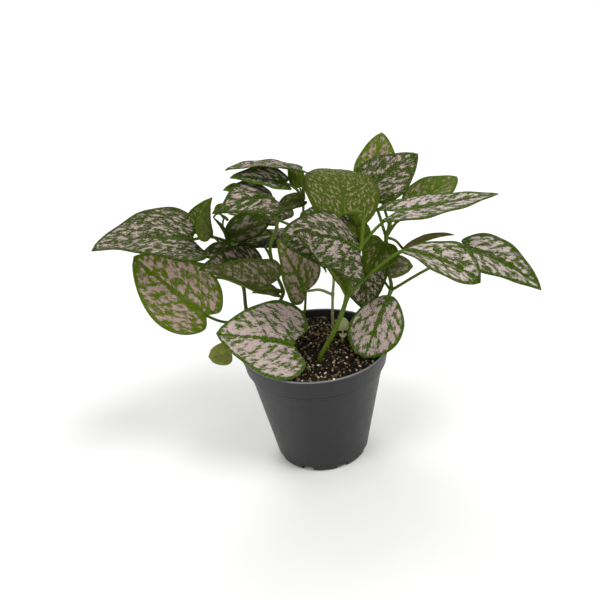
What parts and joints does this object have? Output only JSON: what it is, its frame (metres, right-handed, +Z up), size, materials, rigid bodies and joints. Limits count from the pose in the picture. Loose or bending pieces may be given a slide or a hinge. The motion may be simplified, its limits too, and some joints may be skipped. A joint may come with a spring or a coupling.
{
  "type": "potted polka dot plant",
  "caption": "Round grey nursery pot of dark soil holding a bushy foliage plant with heart-shaped, pink-splashed green leaves on long stalks.",
  "frame": {"origin": "middle of the pot's underside, on the flat pad that it rests on", "axes": "+Z up; +X along the foliage's widest spread; -Y towards the side that the picture shows"},
  "size_m": [0.2144, 0.1258, 0.1646],
  "materials": {
    "pot": "satin",
    "soil": "matte",
    "foliage": "satin"
  },
  "bodies": {
    "root": {"pot": "pot", "soil": "soil", "stemFront": "foliage", "stemPale": "foliage", "stemMiddle": "foliage", "stemLeft": "foliage", "stemRight": "foliage", "stemSlim": "foliage", "seedlingRight": "foliage", "seedlingLeft": "foliage"}
  },
  "joints": []
}
